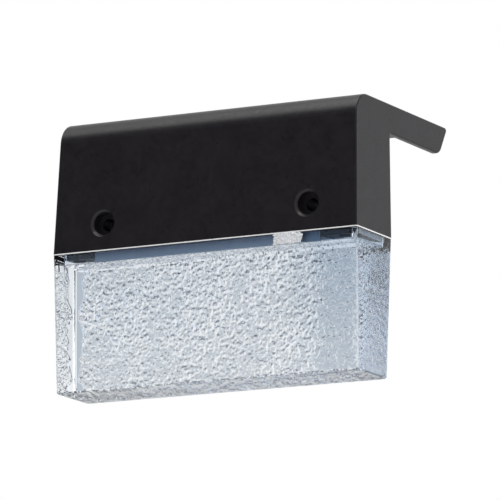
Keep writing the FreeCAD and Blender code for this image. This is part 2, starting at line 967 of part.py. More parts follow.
def battery_cradle():
    """A trough for the cell, open to the back, with end walls and two screw ears."""
    y0 = battery_y - cradle_half
    y1 = cradle_open_y
    z0, z1 = battery_z - cradle_half, battery_z + cradle_half
    side = [(y0, z0, cradle_half / 2), (y1, z0, 0), (y1, z1, 0), (y0, z1, cradle_half / 2)]
    trough = side_prism(side, cradle_x0, cradle_x1)
    parts = [trough]
    cuts = [rod_along(cradle_x0 + cradle_wall, cradle_x1 - cradle_wall, cell_radius + cradle_gap)]
    mouth_half = cell_radius + cradle_gap
    cuts.append(
        box(
            cradle_x0 + cradle_wall,
            cradle_x1 - cradle_wall,
            battery_y,
            y1 + PAST,
            battery_z - mouth_half,
            battery_z + mouth_half,
        )
    )
    for x, z in cradle_screw_places():
        ear_y1 = cradle_ear_y + cradle_ear_thickness
        x0, x1 = x - cradle_ear_radius, x + cradle_ear_radius
        parts.append(rod_back(x, z, cradle_ear_radius, cradle_ear_y, ear_y1))
        parts.append(box(x0, x1, cradle_ear_y, ear_y1, z, z0 + cradle_wall / 2))
        cuts.append(rod_back(x, z, screw_clear_radius, cradle_ear_y - PAST, ear_y1 + PAST))
    return joined(parts).cut(cuts)


def cradle_screws():
    seat = cradle_ear_y + cradle_ear_thickness
    return [
        screw(Vector(x, seat, z), Vector(0, -1, 0), screw_length)
        for x, z in cradle_screw_places()
    ]


def battery_plus_contact():
    """A flat plate against the cradle's end wall, with a tag for its wire."""
    half = contact_width / 2
    x1 = battery_end_x + contact_thickness
    plate = box(
        battery_end_x, x1, battery_y - half, battery_y + half, battery_z - half, battery_z + half
    )
    return joined([plate, wire_tag(battery_end_x, 0)])


def wire_tag(x, step):
    """The upright tag of a battery contact, behind the cradle's open edge."""
    y0 = cradle_open_y + fit_gap
    return box(x, x + contact_thickness, y0, tag_back_y(step), battery_z, tag_top_z())


def tag_back_y(step):
    """The minus tag reaches a step further back, so that its wire clears the plus tag."""
    return cradle_open_y + fit_gap + tag_step * (step + 1)


def tag_top_z():
    return battery_z + cradle_half - boss_gap


def battery_minus_spring():
    """A strip folded to a V: one leaf on the end wall, one pressing on the cell."""
    half = contact_width / 2
    wall_x = battery_start_x - spring_room
    foot_x = battery_start_x - contact_thickness
    tip_x = battery_start_x - spring_tip_back
    foot_z, head_z = battery_z - half, battery_z + half
    t = contact_thickness
    leaf = [
        (wall_x, head_z, 0),
        (wall_x, foot_z, spring_bend + t),
        (foot_x, foot_z, spring_bend + t),
        (battery_start_x, battery_z, t),
        (tip_x, head_z - t, 0),
        (tip_x - t, head_z - t, 0),
        (battery_start_x - t, battery_z, t),
        (foot_x - t, foot_z + t, spring_bend),
        (wall_x + t, foot_z + t, spring_bend),
        (wall_x + t, head_z, 0),
    ]
    strip = front_prism(leaf, battery_y - spring_width / 2, battery_y + spring_width / 2)
    arm = box(wall_x, wall_x + t, battery_y, tag_back_y(1), battery_z, head_z)
    return joined([strip, arm, wire_tag(wall_x, 1)])


# ---- Control board ----

def on_board_block(length, height, radius, y0, y1):
    """A block with rounded corners, centred on the board's middle."""
    x0, x1 = board_x - length / 2, board_x + length / 2
    z0, z1 = board_z - height / 2, board_z + height / 2
    corners = [(x0, z0, radius), (x1, z0, radius), (x1, z1, radius), (x0, z1, radius)]
    return front_prism(corners, y0, y1)


def control_board():
    board = on_board_block(
        board_length, board_height, board_corner_radius, board_under_y, board_y
    )
    return board.cut(
        [
            rod_back(x, z, screw_clear_radius, board_under_y - PAST, board_y + PAST)
            for x, z in board_screw_places()
        ]
    )


def board_screws():
    return [
        screw(Vector(x, board_y, z), Vector(0, -1, 0), screw_length)
        for x, z in board_screw_places()
    ]


def charge_choke():
    """A drum core: two flanges and the winding between them, revolved."""
    x, z = board_x + choke_x_off, board_z + choke_z_off
    waist = rod_back(x, z, choke_waist_radius, board_y, board_y + choke_height)
    low = rod_back(x, z, choke_radius, board_y, board_y + choke_rim)
    high = rod_back(x, z, choke_radius, board_y + choke_height - choke_rim, board_y + choke_height)
    return joined([waist, low, high])


def storage_capacitor():
    x, z = board_x + capacitor_x_off, board_z + capacitor_z_off
    can = rod_back(x, z, capacitor_radius, board_y, board_y + capacitor_height)
    top = board_y + capacitor_height
    rim = [e for e in can.Edges if len(e.Vertexes) == 1 and abs(e.Vertexes[0].Y - top) < TINY]
    return can.makeFillet(capacitor_round, rim)


def controller_chip():
    """A small flat package with its legs down on the board."""
    x, z = board_x + chip_x_off, board_z + chip_z_off
    x0, x1 = x - chip_length / 2, x + chip_length / 2
    z0, z1 = z - chip_height / 2, z + chip_height / 2
    parts = [box(x0, x1, board_y + chip_lift, board_y + chip_thickness, z0, z1)]
    pitch = chip_length / chip_leg_count
    for i in range(chip_leg_count):
        leg_x = x0 + pitch * (i + 0.5)
        parts.append(
            box(
                leg_x - chip_leg_width / 2,
                leg_x + chip_leg_width / 2,
                board_y,
                board_y + chip_leg_thickness,
                z0 - chip_leg_reach,
                z1 + chip_leg_reach,
            )
        )
    return joined(parts)


# ---- Push switch ----

flange_back_y = cover_inner_y - running_gap
flange_front_y = flange_back_y - button_flange_thickness
switch_top_y = flange_front_y - button_travel - running_gap
bore_floor_y = board_y + switch_floor


def switch_body():
    block = on_board_block(
        switch_size, switch_size, switch_corner_radius, board_y, switch_top_y
    )
    bore_radius = switch_plunger_radius + running_gap
    return block.cut(rod_back(board_x, board_z, bore_radius, bore_floor_y, PAST))


def switch_plunger():
    """It stands clear of its bore's floor by the travel, and ends in the button's socket."""
    foot = bore_floor_y + button_travel + running_gap
    top = flange_front_y + button_socket_depth
    return rod_back(board_x, board_z, switch_plunger_radius, foot, top)


def switch_button():
    """The cap that shows at the back: a dished face, and a flange that keeps it in."""
    profile = [
        (0, flange_front_y, 0),
        (button_flange_radius, flange_front_y, 0),
        (button_flange_radius, flange_back_y, 0),
        (button_radius, flange_back_y, 0),
        (button_radius, -button_sink, button_dish),
        (button_radius - button_dish * 3, -button_sink, button_dish),
        (button_radius - button_dish * 4, -button_sink - button_dish, button_dish),
        (0, -button_sink - button_dish, 0),
    ]
    wire = outline(profile, lambda p: Vector(board_x + p.x, p.y, board_z))
    cap = Part.Face(wire).revolve(Vector(board_x, 0, board_z), Vector(0, 1, 0), 360)
    socket_end = flange_front_y + button_socket_depth
    socket = rod_back(board_x, board_z, switch_plunger_radius, flange_front_y - PAST, socket_end)
    return cap.cut(socket)


# ---- Wires, each a round tube along straight runs and arcs ----

def wire(points):
    """A tube through points, with the same bend at each inner one."""
    edges = []
    start = points[0]
    for i in range(1, len(points) - 1):
        here = points[i]
        back = (points[i - 1] - here).normalize()
        ahead = (points[i + 1] - here).normalize()
        half_angle = back.getAngle(ahead) / 2
        reach = wire_bend / math.tan(half_angle)
        inward = (back + ahead).normalize()
        tip = here + inward * (wire_bend / math.sin(half_angle) - wire_bend)
        bend_start, bend_end = here + back * reach, here + ahead * reach
        edges.append(Part.makeLine(start, bend_start))
        edges.append(Part.Arc(bend_start, tip, bend_end).toShape())
        start = bend_end
    edges.append(Part.makeLine(start, points[-1]))
    path = Part.Wire(edges)
    ring = Part.Wire(Part.makeCircle(wire_radius, points[0], points[1] - points[0]))
    return path.makePipeShell([ring], True, True)


def led_lead_places():
    """Where the LED strip's two wires come up, below the control board."""
    y = led_y + led_board_width / 4
    return [(board_x - wire_pitch * 1.5, y), (board_x - wire_pitch / 2, y)]


def panel_wires():
    z_pad = board_z + board_height / 2 - wire_pitch / 2
    top = pocket_z + tape_thickness
    return [
        wire([Vector(x, y, top), Vector(x, y, z_pad), Vector(x, board_y, z_pad)])
        for x, y in panel_lead_places()
    ]


def led_wires():
    z_pad = board_z - board_height / 2 + wire_pitch / 2
    y_run = board_y + wire_lead_out()
    wires = []
    for x, y in led_lead_places():
        z_turn = frame_top_z + wire_pitch
        wires.append(
            wire(
                [
                    Vector(x, y, reflector_floor_z),
                    Vector(x, y, z_turn),
                    Vector(x, y_run, z_turn + wire_pitch),
                    Vector(x, y_run, z_pad),
                    Vector(x, board_y, z_pad),
                ]
            )
        )
    return wires


def battery_wire(x_tag, step):
    """From a contact's tag, along behind the cradle's top edge, to the board."""
    y_run = tag_back_y(step) - wire_radius
    z_run = tag_top_z() - wire_radius
    x_pad = board_x - board_length / 2 + pad_inset + tag_step * step
    return wire(
        [
            Vector(x_tag, y_run, z_run),
            Vector(x_pad, y_run, z_run),
            Vector(x_pad, board_y, z_run),
        ]
    )


def red_wires():
    plus_x = battery_end_x + contact_thickness
    return [panel_wires()[0], led_wires()[0], battery_wire(plus_x, 0)]


def black_wires():
    minus_x = battery_start_x - spring_room + contact_thickness
    return [panel_wires()[1], led_wires()[1], battery_wire(minus_x, 1)]


PIECES = [
    housing, panel_tape, panel_board, solar_cells, panel_cover, rear_cover, rear_cover_screws,
    cover_gasket, lens, lens_gasket, lens_frame, lens_frame_screws, led_reflector, led_board,
    leds, led_board_screws, battery, battery_cradle, cradle_screws, battery_plus_contact,
    battery_minus_spring, control_board, board_screws, charge_choke, storage_capacitor,
    controller_chip, switch_body, switch_plunger, switch_button, red_wires, black_wires,
]

os.makedirs("parts", exist_ok=True)
for piece in PIECES:
    made = piece()
    shape = Part.makeCompound(made) if isinstance(made, list) else made
    shape.exportStep("parts/" + piece.__name__ + ".step")
    print(piece.__name__, "solids", len(shape.Solids), "volume", round(shape.Volume, 2))
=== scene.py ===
import math

import bpy
from mathutils import Matrix, Vector, noise


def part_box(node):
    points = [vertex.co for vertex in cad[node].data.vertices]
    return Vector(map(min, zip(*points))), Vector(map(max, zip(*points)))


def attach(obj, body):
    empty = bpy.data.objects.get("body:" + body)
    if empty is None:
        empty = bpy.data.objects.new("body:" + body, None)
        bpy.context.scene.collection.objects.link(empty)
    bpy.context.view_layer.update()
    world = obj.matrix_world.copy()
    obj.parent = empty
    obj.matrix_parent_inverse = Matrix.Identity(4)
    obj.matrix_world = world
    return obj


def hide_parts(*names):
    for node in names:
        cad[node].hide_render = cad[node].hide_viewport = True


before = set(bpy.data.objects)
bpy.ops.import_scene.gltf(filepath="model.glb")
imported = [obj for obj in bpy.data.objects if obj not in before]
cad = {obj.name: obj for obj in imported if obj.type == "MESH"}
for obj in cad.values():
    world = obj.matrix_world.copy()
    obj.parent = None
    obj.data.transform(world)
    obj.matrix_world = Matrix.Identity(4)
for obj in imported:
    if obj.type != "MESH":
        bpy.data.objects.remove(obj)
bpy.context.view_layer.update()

# ---- Room and camera ----
# A plain white room with soft light from all round, a large soft lamp overhead and one to the right.
# The camera stands far off with a long lens, below the light and to its right, as in the photograph.
# The floor lies far below and pales to white. It is clear from beneath, so low views look through it.

mm = 0.001
scene = bpy.context.scene
scene.view_settings.view_transform = "Standard"

camera_turn = math.radians(29.68)
camera_rise = math.radians(-11.57)
camera_roll = math.radians(0.99)
camera_distance = 1912.4 * mm
camera_target = Vector((17.85, -23.8, -14.05)) * mm

backward = Vector((
    math.sin(camera_turn) * math.cos(camera_rise),
    -math.cos(camera_turn) * math.cos(camera_rise),
    math.sin(camera_rise),
))
level_right = Vector((0, 0, 1)).cross(backward).normalized()
level_up = backward.cross(level_right)
right = level_right * math.cos(camera_roll) + level_up * math.sin(camera_roll)
up = level_up * math.cos(camera_roll) - level_right * math.sin(camera_roll)

lens_data = bpy.data.cameras.new("camera")
lens_data.sensor_width = 36
lens_data.lens = 422.35
lens_data.clip_end = 100
camera = bpy.data.objects.new("camera", lens_data)
camera.matrix_world = Matrix((right, up, backward)).transposed().to_4x4()
camera.location = camera_target + backward * camera_distance
scene.collection.objects.link(camera)
scene.camera = camera


def add(tree, kind, feeds=None, **settings):
    """A node in a tree, with its inputs fed by other nodes' outputs or set to plain values."""
    made = tree.nodes.new(kind)
    for name, value in settings.items():
        setattr(made, name, value)
    for name, value in (feeds or {}).items():
        if isinstance(value, bpy.types.NodeSocket):
            tree.links.new(value, made.inputs[name])
        else:
            made.inputs[name].default_value = value
    return made


def math_of(tree, operation, *values, clamp=False):
    """A Math node's result from up to three values or outputs."""
    feeds = dict(enumerate(values))
    return add(tree, "ShaderNodeMath", feeds, operation=operation, use_clamp=clamp).outputs[0]


def span(tree, value, low, high, new_low, new_high, **settings):
    """A value carried from one span to another, and held inside it."""
    feeds = {"Value": value, "From Min": low, "From Max": high, "To Min": new_low, "To Max": new_high}
    return add(tree, "ShaderNodeMapRange", feeds, **settings).outputs["Result"]


def tint(tree, share, first, second):
    """A colour between two, by a share from 0 to 1."""
    first, second = (
        colour if isinstance(colour, bpy.types.NodeSocket) else (*colour, 1) for colour in (first, second)
    )
    return add(tree, "ShaderNodeMix", {0: share, 6: first, 7: second}, data_type="RGBA").outputs[2]


def blend(tree, share, first, second):
    """A shader between two, by a share from 0 to 1."""
    return add(tree, "ShaderNodeMixShader", {0: share, 1: first, 2: second}).outputs[0]


room = bpy.data.worlds.new("room")
scene.world = room
room.use_nodes = True
room_tree = room.node_tree
room_tree.nodes.clear()
toward = add(room_tree, "ShaderNodeTexCoord").outputs["Generated"]


def nearness(way, aim):
    """How nearly a direction in the room is an aim: the cosine between them."""
    return add(room_tree, "ShaderNodeVectorMath", {0: way, 1: aim}, operation="DOT_PRODUCT").outputs["Value"]


def wall_light(colour, strength):
    """Light of a colour from the room's walls."""
    return add(room_tree, "ShaderNodeBackground", {"Color": colour, "Strength": strength}).outputs[0]


# The soft light is dimmest on the side that the housing's front mirrors.
dark_side = (-0.55, -0.83, 0.0)
bright_wall = 0.78
dark_wall = 0.13
from_dark_side = nearness(toward, dark_side)
dim = span(room_tree, from_dark_side, 0.5, 0.93, bright_wall, dark_wall, interpolation_type="SMOOTHSTEP")
white = (1, 1, 1, 1)
soft_light = wall_light(white, dim)

# The clear block bends the room into view: pale panels with dark gaps, fewer of them high up and low
# down, bluer on the front's side, and a grey-blue screen straight behind the light.
front_side = (-0.5, -0.86, 0.1)
screen_edge = math.cos(math.radians(6))
screen_middle = math.cos(math.radians(1.5))
parts = add(room_tree, "ShaderNodeSeparateXYZ", {"Vector": toward}).outputs
steepness = math_of(room_tree, "ABSOLUTE", parts["Z"])
cloud_feeds = {"Vector": toward, "Scale": 6.0, "Detail": 2.0, "Roughness": 0.45}
room_clouds = add(room_tree, "ShaderNodeTexNoise", cloud_feeds).outputs[0]
shaded = math_of(room_tree, "SUBTRACT", room_clouds, span(room_tree, steepness, 0.4, 0.75, 0.0, 0.09))
lit = span(room_tree, shaded, 0.405, 0.48, 0, 1)
grey_panels = tint(room_tree, lit, (0.11, 0.14, 0.19), (0.97, 0.99, 1.0))
blue_panels = tint(room_tree, lit, (0.43, 0.57, 0.84), (0.70, 0.84, 1.0))
blue_share = span(room_tree, nearness(toward, front_side), 0.2, 0.7, 0, 1)
panels = tint(room_tree, blue_share, grey_panels, blue_panels)
above = add(room_tree, "ShaderNodeCombineXYZ", {"X": parts["X"], "Y": parts["Y"], "Z": steepness}).outputs[0]
screen = span(room_tree, nearness(above, tuple(-backward)), screen_edge, screen_middle, 0, 1)
panel_wall = wall_light(tint(room_tree, screen, panels, (0.50, 0.56, 0.62)), 1.0)

path = add(room_tree, "ShaderNodeLightPath").outputs
past_lens = blend(room_tree, path["Is Transmission Ray"], soft_light, panel_wall)
shown = blend(room_tree, path["Is Camera Ray"], past_lens, wall_light(white, 1.0))
add(room_tree, "ShaderNodeOutputWorld", {"Surface": shown})

lamps = {
    "overhead": ((-0.2, -0.5, 1.5), 1.5, 16.0),
    "right_side": ((1.7, 0.55, 0.25), 1.1, 9.0),
}
for name, (place, size, power) in lamps.items():
    lamp_data = bpy.data.lights.new(name, "AREA")
    lamp_data.shape = "SQUARE"
    lamp_data.size = size
    lamp_data.energy = power
    lamp = bpy.data.objects.new(name, lamp_data)
    lamp.location = place
    lamp.rotation_euler = Vector(place).to_track_quat("Z", "Y").to_euler()
    scene.collection.objects.link(lamp)

floor_z = -0.5
floor_half = 4.0
floor_mesh = bpy.data.meshes.new("floor")
floor_mesh.from_pydata(
    [(x * floor_half, y * floor_half, floor_z) for x, y in ((-1, -1), (1, -1), (1, 1), (-1, 1))],
    [],
    [(0, 1, 2, 3)],
)
floor = bpy.data.objects.new("floor", floor_mesh)
scene.collection.objects.link(floor)
floor_paint = bpy.data.materials.new("floor_paint")
floor_paint.use_nodes = True
floor_tree = floor_paint.node_tree
floor_tree.nodes.clear()
on_floor = add(floor_tree, "ShaderNodeTexCoord").outputs["Object"]
from_middle = {0: on_floor, 1: (0, 0, floor_z)}
distance = add(floor_tree, "ShaderNodeVectorMath", from_middle, operation="DISTANCE").outputs["Value"]
paling_from, white_from = 0.2, 1.8   # metres out from under the light
far_out = span(floor_tree, distance, paling_from, white_from, 0, 1)
rays = add(floor_tree, "ShaderNodeLightPath").outputs
pale_paint = add(floor_tree, "ShaderNodeBsdfDiffuse", {"Color": (0.86, 0.86, 0.86, 1)}).outputs[0]
white_glow = add(floor_tree, "ShaderNodeEmission", {"Color": white, "Strength": 1.0}).outputs[0]
seen_far_out = math_of(floor_tree, "MULTIPLY", far_out, rays["Is Camera Ray"])
paling = blend(floor_tree, seen_far_out, pale_paint, white_glow)
clear = add(floor_tree, "ShaderNodeBsdfTransparent").outputs[0]
under = add(floor_tree, "ShaderNodeNewGeometry").outputs["Backfacing"]
unseen = math_of(floor_tree, "MAXIMUM", under, rays["Is Transmission Ray"])
add(floor_tree, "ShaderNodeOutputMaterial", {"Surface": blend(floor_tree, unseen, paling, clear)})
floor_mesh.materials.append(floor_paint)


# ---- Housing ----
# One black ABS moulding, an upside-down L from the end. Its skin has the fine spark texture of the
# tool, slightly glossier where the plastic ran thick. Everything else is screwed or bonded into it.

def new_finish(name):
    """A new material, its node tree and its one shader."""
    material = bpy.data.materials.new(name)
    material.use_nodes = True
    return material, material.node_tree, material.node_tree.nodes["Principled BSDF"]


def place_in(tree):
    """The place on the piece, in the part's own frame."""
    held = tree.nodes.get("place") or add(tree, "ShaderNodeTexCoord", name="place")
    return held.outputs["Object"]


def grain(tree, size, detail=2.0, roughness=0.5, stretch=(1, 1, 1)):
    """Soft random variation from 0 to 1, with features of a given size in metres."""
    spread = add(tree, "ShaderNodeVectorMath", {0: place_in(tree), 1: stretch}, operation="MULTIPLY")
    feeds = {"Vector": spread.outputs[0], "Scale": 1 / size, "Detail": detail, "Roughness": roughness}
    cloud = add(tree, "ShaderNodeTexNoise", feeds).outputs[0]
    return span(tree, cloud, 0.3, 0.7, 0.0, 1.0)


def relief(tree, height, depth, under=None):
    """A bumped normal: a height from 0 to 1 stands for a depth in metres."""
    feeds = {"Height": height, "Distance": depth, "Strength": 1.0}
    if under is not None:
        feeds["Normal"] = under
    return add(tree, "ShaderNodeBump", feeds).outputs["Normal"]


def paint(piece, material):
    """Gives a piece's every slot the material."""
    if not piece.material_slots:
        piece.data.materials.append(material)
    for slot in piece.material_slots:
        slot.material = material


def moulded_black(name, dark, pale, gloss):
    """Black ABS: a dark body with faint clouds, and the tool's spark texture."""
    material, tree, shader = new_finish(name)
    clouds = grain(tree, 7 * mm, 3.0)
    tree.links.new(tint(tree, clouds, dark, pale), shader.inputs["Base Color"])
    sheen = span(tree, grain(tree, 1.5 * mm, 4.0), 0, 1, gloss - 0.05, gloss + 0.07)
    tree.links.new(sheen, shader.inputs["Roughness"])
    sparks = relief(tree, grain(tree, 0.28 * mm, 2.0), 0.008 * mm)
    tree.links.new(relief(tree, clouds, 0.01 * mm, sparks), shader.inputs["Normal"])
    shader.inputs["Specular IOR Level"].default_value = 0.35
    return material


housing_black = moulded_black("housing_black", (0.0075, 0.0062, 0.0085), (0.0115, 0.0100, 0.0125), 0.32)
paint(cad["housing"], housing_black)


# ---- Sun panel ----
# A stack let into the top: bonding tape, a dark fibreglass board, four silicon cells in a row, and a
# clear sheet cast over them, level with the housing. Each cell has its two tinned busbars and its
# thin silver fingers printed on.

def plain_finish(name, dark, pale, cloud, bump, roughness):
    """Clouds of two close colours, fine relief and one roughness.

    A cloud is a size and a detail, and a bump is a size and a depth.
    """
    material, tree, shader = new_finish(name)
    tree.links.new(tint(tree, grain(tree, *cloud), dark, pale), shader.inputs["Base Color"])
    tree.links.new(relief(tree, grain(tree, bump[0]), bump[1]), shader.inputs["Normal"])
    shader.inputs["Roughness"].default_value = roughness
    return material


tape_white = plain_finish(
    "tape_white", (0.62, 0.61, 0.58), (0.74, 0.73, 0.70), (0.8 * mm, 3.0), (0.2 * mm, 0.02 * mm), 0.85
)
paint(cad["panel_tape"], tape_white)

board_black, tree, shader = new_finish("board_black")
weave_feeds = {"Vector": place_in(tree), "Scale": 1 / (1.2 * mm), "Mortar Size": 0.08}
weave = add(tree, "ShaderNodeTexBrick", weave_feeds)
tree.links.new(
    tint(tree, weave.outputs["Fac"], (0.020, 0.021, 0.024), (0.034, 0.036, 0.040)),
    shader.inputs["Base Color"],
)
tree.links.new(span(tree, grain(tree, 2 * mm), 0, 1, 0.35, 0.5), shader.inputs["Roughness"])
paint(cad["panel_board"], board_black)

silicon_blue, tree, shader = new_finish("silicon_blue")
crystals = add(tree, "ShaderNodeTexVoronoi", {"Vector": place_in(tree), "Scale": 1 / (4 * mm)}, feature="F1")
facet = add(tree, "ShaderNodeSeparateColor", {"Color": crystals.outputs["Color"]}).outputs[0]
tree.links.new(tint(tree, facet, (0.008, 0.014, 0.045), (0.020, 0.038, 0.105)), shader.inputs["Base Color"])
tree.links.new(span(tree, facet, 0, 1, 0.22, 0.38), shader.inputs["Roughness"])
shader.inputs["Coat Weight"].default_value = 0.4
paint(cad["solar_cells"], silicon_blue)

sheet_clear, tree, shader = new_finish("sheet_clear")
tree.links.new(span(tree, grain(tree, 3 * mm, 3.0), 0, 1, 0.03, 0.08), shader.inputs["Roughness"])
tree.links.new(relief(tree, grain(tree, 9 * mm, 1.0), 0.02 * mm), shader.inputs["Normal"])
shader.inputs["Base Color"].default_value = (0.93, 0.95, 0.97, 1)
shader.inputs["Transmission Weight"].default_value = 1.0
shader.inputs["IOR"].default_value = 1.45
paint(cad["panel_cover"], sheet_clear)

silver_print, tree, shader = new_finish("silver_print")
tree.links.new(
    tint(tree, grain(tree, 0.3 * mm), (0.55, 0.56, 0.57), (0.74, 0.75, 0.76)),
    shader.inputs["Base Color"],
)
tree.links.new(span(tree, grain(tree, 0.15 * mm), 0, 1, 0.35, 0.55), shader.inputs["Roughness"])
shader.inputs["Metallic"].default_value = 0.8


def flow(tree, kind, feeds=None, **settings):
    """The first output of a geometry node that feeds the next."""
    return add(tree, kind, feeds, **settings).outputs[0]


def new_flow(name, sizes):
    """A geometry tree with named size inputs. Gives the tree and the outputs of its inputs."""
    tree = bpy.data.node_groups.new(name, "GeometryNodeTree")
    tree.interface.new_socket("Geometry", in_out="INPUT", socket_type="NodeSocketGeometry")
    tree.interface.new_socket("Geometry", in_out="OUTPUT", socket_type="NodeSocketGeometry")
    for size_name, value in sizes.items():
        kind = "NodeSocketInt" if isinstance(value, int) else "NodeSocketFloat"
        tree.interface.new_socket(size_name, in_out="INPUT", socket_type=kind)
    start = tree.nodes.new("NodeGroupInput")
    return tree, {socket.name: socket for socket in start.outputs}


def close_flow(tree, geometry, material):
    """Ends a geometry tree: instances made real and the material set."""
    real = flow(tree, "GeometryNodeRealizeInstances", {"Geometry": geometry})
    set_to = flow(tree, "GeometryNodeSetMaterial", {"Geometry": real, "Material": material})
    add(tree, "NodeGroupOutput", {"Geometry": set_to})


def grown(name, mesh, tree, sizes):
    """Runs a geometry tree on a mesh and gives the result as a plain object."""
    carrier = bpy.data.objects.new(name, mesh)
    scene.collection.objects.link(carrier)
    modifier = carrier.modifiers.new(name, "NODES")
    modifier.node_group = tree
    for item in tree.interface.items_tree:
        if item.in_out == "INPUT" and item.name in sizes:
            modifier[item.identifier] = sizes[item.name]
    depsgraph = bpy.context.evaluated_depsgraph_get()
    result = bpy.data.meshes.new_from_object(carrier.evaluated_get(depsgraph))
    carrier.modifiers.remove(modifier)
    carrier.data = result
    result.name = name
    return carrier


# The row of cells repeats every cell length plus the gap between two of them. Its lines start from
# one point a cell: the cell's middle, on its top face.
cells_low, cells_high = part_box("solar_cells")
cell_count = 4
cell_gap = 0.8 * mm
cell_pitch = (cells_high.x - cells_low.x + cell_gap) / cell_count
cell_width = cell_pitch - cell_gap
cell_depth = cells_high.y - cells_low.y
cell_middles = bpy.data.meshes.new("cell_middles")
cell_middles.from_pydata(
    [
        (cells_low.x + cell_width / 2 + i * cell_pitch, (cells_low.y + cells_high.y) / 2, cells_high.z)
        for i in range(cell_count)
    ],
    [],
    [],
)

line_sizes = {
    "Cell width": cell_width,
    "Cell depth": cell_depth,
    "Busbar width": 1.0 * mm,
    "Finger width": 0.12 * mm,
    "Print height": 0.02 * mm,
    "Fingers": 24,
    "Busbars": 2,
}
line_tree, line_in = new_flow("cell_lines", line_sizes)


def offset(x, y, z=0.0):
    """A vector from three numbers or outputs."""
    return flow(line_tree, "ShaderNodeCombineXYZ", {"X": x, "Y": y, "Z": z})


def bar(length_x, length_y):
    """A printed line's solid, by its lengths along and across the row."""
    size = offset(length_x, length_y, line_in["Print height"])
    return flow(line_tree, "GeometryNodeMeshCube", {"Size": size})


def row_of(count, spacing_x, spacing_y, shape):
    """Copies of a shape on an evenly spaced line, centred on its middle."""
    steps = math_of(line_tree, "SUBTRACT", count, 1)
    reach_x = math_of(line_tree, "MULTIPLY", steps, spacing_x)
    reach_y = math_of(line_tree, "MULTIPLY", steps, spacing_y)
    to_first = {0: offset(reach_x, reach_y), "Scale": -0.5}
    first = flow(line_tree, "ShaderNodeVectorMath", to_first, operation="SCALE")
    line = {"Count": count, "Start Location": first, "Offset": offset(spacing_x, spacing_y)}
    points = flow(line_tree, "GeometryNodeMeshLine", line)
    return flow(line_tree, "GeometryNodeInstanceOnPoints", {"Points": points, "Instance": shape})


finger_gap = math_of(line_tree, "DIVIDE", line_in["Cell depth"], line_in["Fingers"])
fingers = row_of(line_in["Fingers"], 0.0, finger_gap, bar(line_in["Cell width"], line_in["Finger width"]))
busbar_gap = math_of(line_tree, "DIVIDE", line_in["Cell width"], line_in["Busbars"])
busbars = row_of(line_in["Busbars"], busbar_gap, 0.0, bar(line_in["Busbar width"], line_in["Cell depth"]))
one_cell = add(line_tree, "GeometryNodeJoinGeometry")
line_tree.links.new(fingers, one_cell.inputs[0])
line_tree.links.new(busbars, one_cell.inputs[0])
each_cell = {"Points": line_in["Geometry"], "Instance": one_cell.outputs[0]}
all_cells = flow(line_tree, "GeometryNodeInstanceOnPoints", each_cell)
close_flow(line_tree, all_cells, silver_print)
cell_lines = grown("cell_lines", cell_middles, line_tree, line_sizes)
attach(cell_lines, "light")


# ---- Lens frame, reflector and LED strip ----
# A black frame closes the leg from below and carries the LED strip. Its two end blocks show through
# the lens as dark tabs under the seam. Between them a slate-grey trough throws the light down.

frame_black = moulded_black("frame_black", (0.006, 0.008, 0.014), (0.010, 0.013, 0.022), 0.45)
paint(cad["lens_frame"], frame_black)

reflector_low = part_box("led_reflector")[0]
painted_light_height = 2.6 * mm          # over which painted light pales the front wall towards its foot
front_wall = 0.5 * mm
reflector_slate, tree, shader = new_finish("reflector_slate")
spot = add(tree, "ShaderNodeSeparateXYZ", {"Vector": place_in(tree)}).outputs
# Painted light: the front wall's slate is painted paler towards its foot.
painted_light_share = span(tree, spot["Z"], reflector_low.z, reflector_low.z + painted_light_height, 1, 0)
slate = tint(tree, grain(tree, 5 * mm, 3.0), (0.19, 0.235, 0.32), (0.26, 0.31, 0.41))
slate_and_painted_light = tint(tree, painted_light_share, slate, (0.42, 0.50, 0.58))
inner_side = math_of(tree, "GREATER_THAN", spot["Y"], reflector_low.y + front_wall)
tree.links.new(tint(tree, inner_side, slate_and_painted_light, (0.72, 0.78, 0.85)), shader.inputs["Base Color"])
tree.links.new(span(tree, grain(tree, 0.8 * mm), 0, 1, 0.32, 0.45), shader.inputs["Roughness"])
tree.links.new(relief(tree, grain(tree, 0.4 * mm), 0.01 * mm), shader.inputs["Normal"])
paint(cad["led_reflector"], reflector_slate)

strip_white, tree, shader = new_finish("strip_white")
tree.links.new(
    tint(tree, grain(tree, 3 * mm, 2.0), (0.74, 0.75, 0.75), (0.84, 0.85, 0.85)),
    shader.inputs["Base Color"],
)
tree.links.new(span(tree, grain(tree, 0.6 * mm), 0, 1, 0.3, 0.42), shader.inputs["Roughness"])
paint(cad["led_board"], strip_white)

# The packages glow down through a pale yellow phosphor that fills their middle.
package_low, package_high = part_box("leds")
package_y = (package_low.y + package_high.y) / 2
window_half = 1.0 * mm
glow_strength = 50.0
led_glow, tree, shader = new_finish("led_glow")
spot = add(tree, "ShaderNodeSeparateXYZ", {"Vector": place_in(tree)}).outputs
across = math_of(tree, "ABSOLUTE", math_of(tree, "SUBTRACT", spot["Y"], package_y))
window = math_of(tree, "LESS_THAN", across, window_half)
normal = add(tree, "ShaderNodeNewGeometry").outputs["Normal"]
facing = add(tree, "ShaderNodeSeparateXYZ", {"Vector": normal}).outputs["Z"]
lit_window = math_of(tree, "MULTIPLY", window, math_of(tree, "LESS_THAN", facing, -0.9))
tree.links.new(tint(tree, window, (0.86, 0.87, 0.86), (0.90, 0.84, 0.52)), shader.inputs["Base Color"])
tree.links.new(math_of(tree, "MULTIPLY", lit_window, glow_strength), shader.inputs["Emission Strength"])
shader.inputs["Emission Color"].default_value = (0.66, 0.83, 1.0, 1)
shader.inputs["Roughness"].default_value = 0.3
paint(cad["leds"], led_glow)


